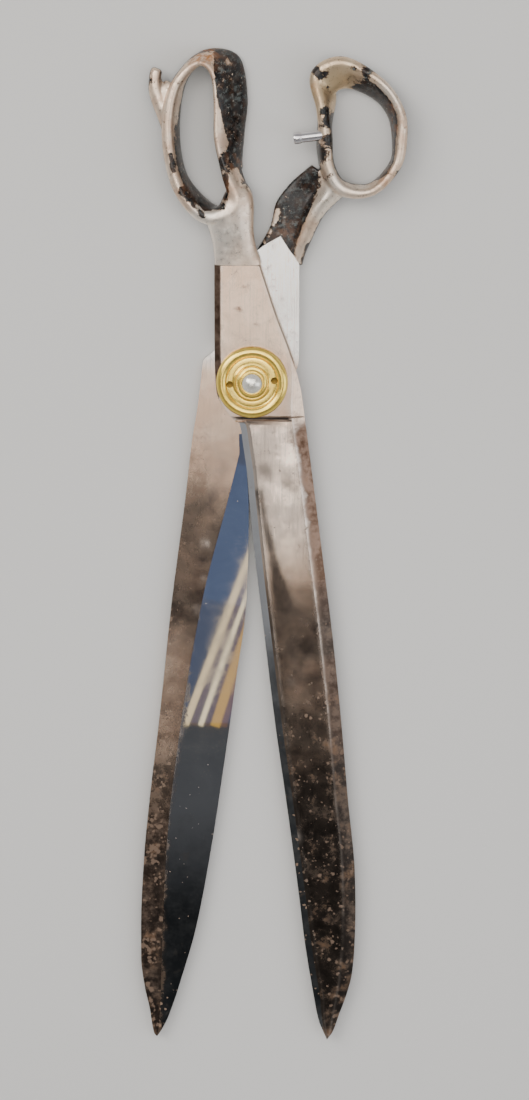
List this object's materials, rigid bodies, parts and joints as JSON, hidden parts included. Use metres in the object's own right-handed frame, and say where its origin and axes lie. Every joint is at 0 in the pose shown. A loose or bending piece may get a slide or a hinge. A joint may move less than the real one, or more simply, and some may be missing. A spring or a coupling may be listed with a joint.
{
  "type": "fabric shears",
  "caption": "Large tailor's fabric shears with crossed laid-steel blades, a thumb bow, a longer finger bow with a spur, a stop stud and a pivot bolt with a brass tension nut.",
  "frame": {"origin": "on the pivot axis, at the outer face of the pivot bolt's head, which is the plane the shears lie on", "axes": "+Z along the pivot axis, up from the resting plane towards the nut; +Y towards the handles, blades to -Y; +X to the finger blade's side"},
  "size_m": [0.1228, 0.4629, 0.0205],
  "materials": {
    "handle_japan": "black stove enamel worn through to bare metal",
    "forged_iron": "satin, with brown rust staining",
    "laid_steel": "ground and polished",
    "bolt_steel": "turned and worn bright",
    "nut_brass": "turned and polished"
  },
  "bodies": {
    "thumb_half": {"thumb_bow": "handle_japan", "rear_blade_back": "forged_iron", "rear_blade_steel": "laid_steel", "stop_stud": "bolt_steel", "pivot_bolt": "bolt_steel"},
    "finger_half": {"finger_bow": "handle_japan", "front_blade_back": "forged_iron", "front_blade_steel": "laid_steel"},
    "washer": {"spring_washer": "bolt_steel"},
    "nut": {"pivot_nut": "nut_brass"}
  },
  "joints": [
    {"name": "blade_pivot", "type": "hinge", "parent": "thumb_half", "child": "finger_half", "pos_m": [0, 0, 0.009], "axis": [0, 0, 1], "range_deg": [-14, 75]},
    {"name": "washer_travel", "type": "slide", "parent": "thumb_half", "child": "washer", "axis": [0, 0, 1], "range_m": [-0.00008, 0.00126]},
    {"name": "nut_turn", "type": "hinge", "parent": "washer", "child": "nut", "pos_m": [0, 0, 0.0144], "axis": [0, 0, 1], "range_deg": [-20, 360]}
  ],
  "couplings": [
    {"joint": "washer_travel", "follows": "nut_turn", "m_per_rad": 0.00019894}
  ]
}
